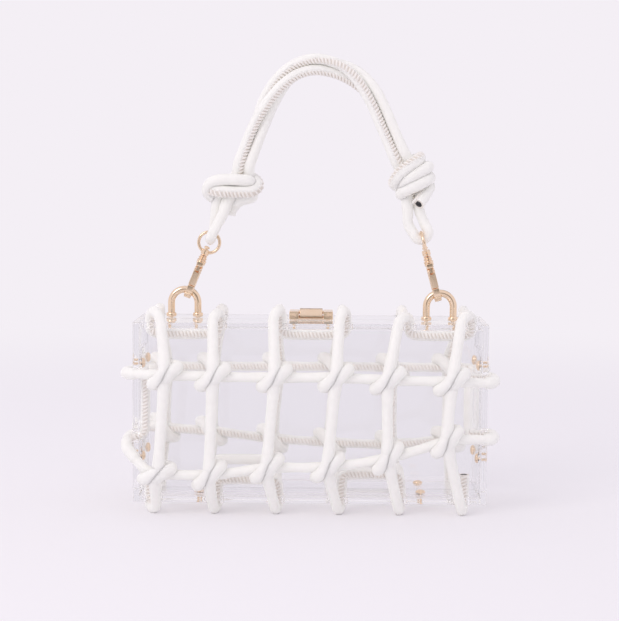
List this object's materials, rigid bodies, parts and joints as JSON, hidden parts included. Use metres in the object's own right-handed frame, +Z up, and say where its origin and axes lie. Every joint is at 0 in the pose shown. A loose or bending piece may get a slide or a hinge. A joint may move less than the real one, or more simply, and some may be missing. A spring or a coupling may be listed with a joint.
{
  "type": "box handbag",
  "caption": "Clear acrylic box handbag laced in a net of knotted white leather cord, with gold D-rings, snap hooks, a flip clasp and a knotted top handle of three twisted strands of cord",
  "frame": {"origin": "middle of the bag's footprint, on the surface that it stands on", "axes": "+Z up to the handle, +X to the right as seen from the front, -Y towards the front face of the box"},
  "size_m": [0.2125, 0.0992, 0.2597],
  "materials": {
    "clear_acrylic": "polished clear acrylic sheet",
    "clear_film": "clear soft film",
    "white_leather": "smooth white leather cord with a whip-stitched seam",
    "gold_metal": "polished pale gold plating"
  },
  "bodies": {
    "bag": {"front_shell": "clear_acrylic", "back_shell": "clear_acrylic", "hinge_film": "clear_film", "front_upright_cord": "white_leather", "back_upright_cord": "white_leather", "front_cross_cord": "white_leather", "back_cross_cord": "white_leather", "handle_cord": "white_leather", "d_ring_left": "gold_metal", "d_ring_right": "gold_metal", "hook_body_left": "gold_metal", "hook_body_right": "gold_metal", "hook_ring_left": "gold_metal", "hook_ring_right": "gold_metal", "clasp_base": "gold_metal", "clasp_catch": "gold_metal", "rivet_front_left_1": "gold_metal", "rivet_front_left_2": "gold_metal", "rivet_front_right_1": "gold_metal", "rivet_front_right_2": "gold_metal", "rivet_front_floor_1": "gold_metal", "rivet_front_floor_2": "gold_metal", "rivet_back_left_1": "gold_metal", "rivet_back_left_2": "gold_metal", "rivet_back_right_1": "gold_metal", "rivet_back_right_2": "gold_metal", "rivet_back_floor_1": "gold_metal", "rivet_back_floor_2": "gold_metal"},
    "clasp_lever": {"clasp_lever": "gold_metal"},
    "hook_gate_left": {"hook_gate_left": "gold_metal"},
    "hook_gate_right": {"hook_gate_right": "gold_metal"}
  },
  "joints": [
    {"name": "clasp_lever_turn", "type": "hinge", "parent": "bag", "child": "clasp_lever", "pos_m": [0, 0.0044, 0.1115], "axis": [-1, 0, 0], "range_deg": [0, 100]},
    {"name": "hook_gate_left_turn", "type": "hinge", "parent": "bag", "child": "hook_gate_left", "pos_m": [-0.06583, 0.0035, 0.13577], "axis": [0.9272, 0, -0.3746], "range_deg": [0, 25], "stiffness_Nm_per_rad": 0.02, "springref_deg": -14.32},
    {"name": "hook_gate_right_turn", "type": "hinge", "parent": "bag", "child": "hook_gate_right", "pos_m": [0.06826, -0.0105, 0.13658], "axis": [0.9659, 0, 0.2588], "range_deg": [0, 25], "stiffness_Nm_per_rad": 0.02, "springref_deg": -14.32}
  ]
}
